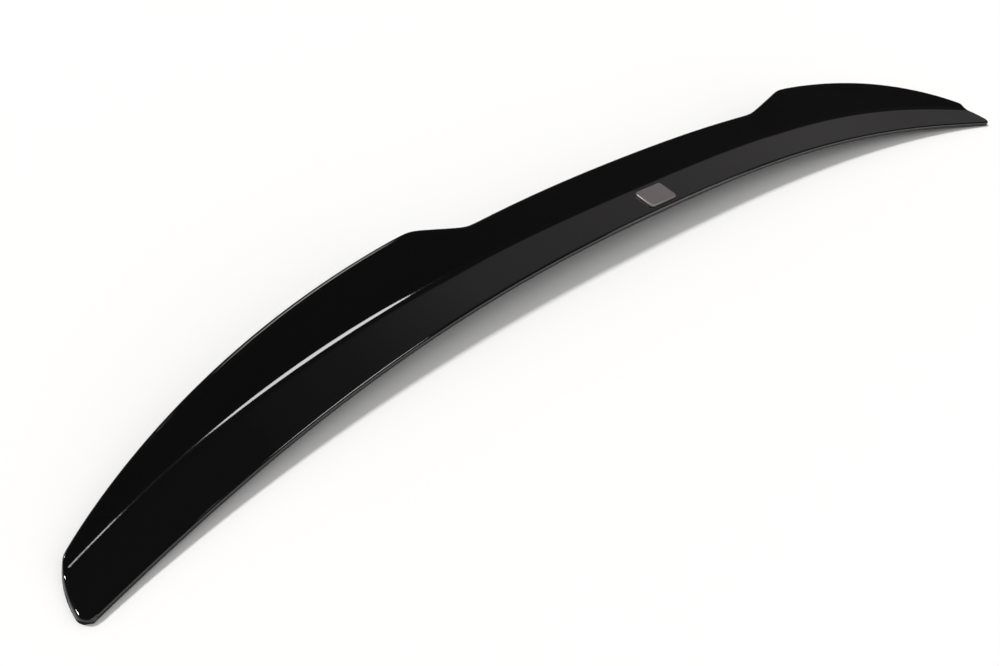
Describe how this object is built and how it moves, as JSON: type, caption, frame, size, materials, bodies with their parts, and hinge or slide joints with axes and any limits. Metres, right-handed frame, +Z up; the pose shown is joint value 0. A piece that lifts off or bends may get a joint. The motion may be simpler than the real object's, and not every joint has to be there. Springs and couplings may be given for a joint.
{
  "type": "spoiler extension",
  "caption": "Long bowed gloss-black strip with a rounded lip, a crease, raised ears on a stepped ridge and a small bare badge plate, bonded along a car's rear edge.",
  "frame": {"origin": "under the middle of the strip's box, on the plane that it rests on", "axes": "+X along the strip, +Y from the smooth edge towards the stepped ridge, +Z up"},
  "size_m": [1.204, 0.1278, 0.0454],
  "materials": {
    "gloss_black": "gloss",
    "badge_silver": "satin"
  },
  "bodies": {
    "root": {"spoiler_shell": "gloss_black", "badge_plate": "badge_silver"}
  },
  "joints": []
}
